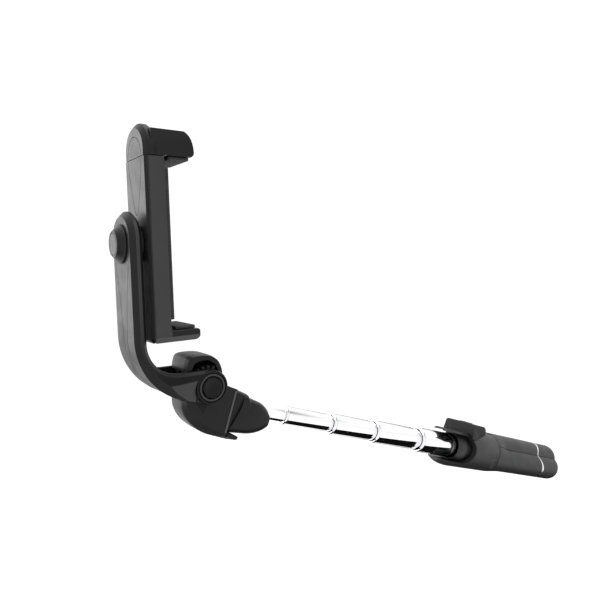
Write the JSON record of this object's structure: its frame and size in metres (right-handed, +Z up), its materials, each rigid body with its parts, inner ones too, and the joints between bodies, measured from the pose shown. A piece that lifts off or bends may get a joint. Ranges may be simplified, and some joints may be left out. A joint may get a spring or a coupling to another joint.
{
  "type": "selfie stick",
  "caption": "Selfie stick with a swivelling spring phone clamp on a hooked tilting arm, a telescopic chromed tube and a three-lobed handle that unfolds into a tripod, with a remote.",
  "frame": {"origin": "centre of the clamp's back pad, on the face that the phone's back rests on, level with the clamp's swivel axis", "axes": "+X out of the back pad towards the handle, +Y across the clamp along the phone, +Z up along the clamp bar"},
  "size_m": [0.3542, 0.0278, 0.2477],
  "materials": {
    "satin_black": "satin",
    "dark_gloss": "gloss",
    "rubber": "matte",
    "chrome": "polished",
    "steel": "satin",
    "silver_trim": "satin",
    "nylon": "matte",
    "black_nylon": "matte",
    "circuit_board": "satin"
  },
  "bodies": {
    "handle": {"hub_body": "satin_black", "hub_sleeve": "dark_gloss", "leg_pin_top": "steel", "leg_pin_near": "steel", "leg_pin_far": "steel"},
    "leg_top": {"leg_top": "satin_black", "leg_trim_top": "silver_trim", "foot_cap_top": "satin_black"},
    "leg_near": {"leg_near": "satin_black", "leg_trim_near": "silver_trim", "foot_cap_near": "satin_black"},
    "leg_far": {"leg_far": "satin_black", "leg_trim_far": "silver_trim", "foot_cap_far": "satin_black"},
    "remote": {"remote_case_upper": "satin_black", "remote_case_lower": "satin_black", "remote_battery": "steel", "remote_board": "circuit_board"},
    "remote_button": {"remote_button": "satin_black"},
    "tube_5": {"tube_5": "chrome", "slide_bush_5": "nylon"},
    "tube_4": {"tube_4": "chrome", "slide_bush_4": "nylon"},
    "tube_3": {"tube_3": "chrome", "slide_bush_3": "nylon"},
    "tube_2": {"tube_2": "chrome", "slide_bush_2": "nylon"},
    "head": {"tube_1": "chrome", "slide_bush_1": "nylon", "head_shell_near": "satin_black", "head_shell_far": "satin_black", "head_screw_1": "steel", "head_screw_2": "steel", "friction_washer_near": "black_nylon", "friction_washer_far": "black_nylon", "neck_socket": "satin_black"},
    "arm": {"arm_shell": "satin_black", "tilt_axle": "steel", "tilt_nut": "steel", "pivot_cap_near": "dark_gloss", "pivot_cap_far": "dark_gloss", "pivot_ring_near": "satin_black", "pivot_ring_far": "satin_black", "swivel_washer": "black_nylon"},
    "clamp": {"clamp_body": "satin_black", "clamp_cover": "satin_black", "seat_pad": "rubber", "lower_jaw_pad": "rubber", "jaw_spring_near": "steel", "jaw_spring_far": "steel", "swivel_bolt": "steel", "swivel_cap": "satin_black"},
    "upper_jaw": {"upper_jaw": "satin_black", "upper_jaw_pad": "rubber", "guide_rod_near": "steel", "guide_rod_far": "steel", "rod_nut_near": "steel", "rod_nut_far": "steel"}
  },
  "joints": [
    {"name": "tube_5_slide", "type": "slide", "parent": "handle", "child": "tube_5", "axis": [-0.9432, 0, 0.3322], "range_m": [-0.0335, 0.065]},
    {"name": "tube_4_slide", "type": "slide", "parent": "tube_5", "child": "tube_4", "axis": [-0.9432, 0, 0.3322], "range_m": [-0.0385, 0.06]},
    {"name": "tube_3_slide", "type": "slide", "parent": "tube_4", "child": "tube_3", "axis": [-0.9432, 0, 0.3322], "range_m": [-0.0325, 0.06]},
    {"name": "tube_2_slide", "type": "slide", "parent": "tube_3", "child": "tube_2", "axis": [-0.9432, 0, 0.3322], "range_m": [-0.032, 0.06]},
    {"name": "tube_1_slide", "type": "slide", "parent": "tube_2", "child": "head", "axis": [-0.9432, 0, 0.3322], "range_m": [-0.0093, 0.075]},
    {"name": "arm_tilt", "type": "hinge", "parent": "head", "child": "arm", "pos_m": [0.0165, 0, -0.0674], "axis": [0, 1, 0], "range_deg": [-70, 105]},
    {"name": "clamp_swivel", "type": "hinge", "parent": "arm", "child": "clamp", "pos_m": [-0.0148, 0, 0], "axis": [1, 0, 0], "range_deg": [-90, 90]},
    {"name": "jaw_slide", "type": "slide", "parent": "clamp", "child": "upper_jaw", "axis": [0, 0, 1], "range_m": [0, 0.02], "stiffness_N_per_m": 300, "springref_m": -0.01, "deforming": ["jaw_spring_near", "jaw_spring_far"]},
    {"name": "leg_top_hinge", "type": "hinge", "parent": "handle", "child": "leg_top", "pos_m": [0.24404, 0, -0.14382], "axis": [0, -1, 0], "range_deg": [0, 62]},
    {"name": "leg_near_hinge", "type": "hinge", "parent": "handle", "child": "leg_near", "pos_m": [0.23841, -0.00979, -0.15981], "axis": [-0.2877, 0.5, -0.8169], "range_deg": [0, 62]},
    {"name": "leg_far_hinge", "type": "hinge", "parent": "handle", "child": "leg_far", "pos_m": [0.23841, 0.00979, -0.15981], "axis": [0.2877, 0.5, 0.8169], "range_deg": [0, 62]},
    {"name": "remote_lift", "type": "slide", "parent": "handle", "child": "remote", "axis": [0.3322, 0, 0.9432], "range_m": [0, 0.012]},
    {"name": "button_press", "type": "slide", "parent": "remote", "child": "remote_button", "axis": [-0.3322, 0, -0.9432], "range_m": [0, 0.0005], "stiffness_N_per_m": 400, "springref_m": -0.0004}
  ]
}
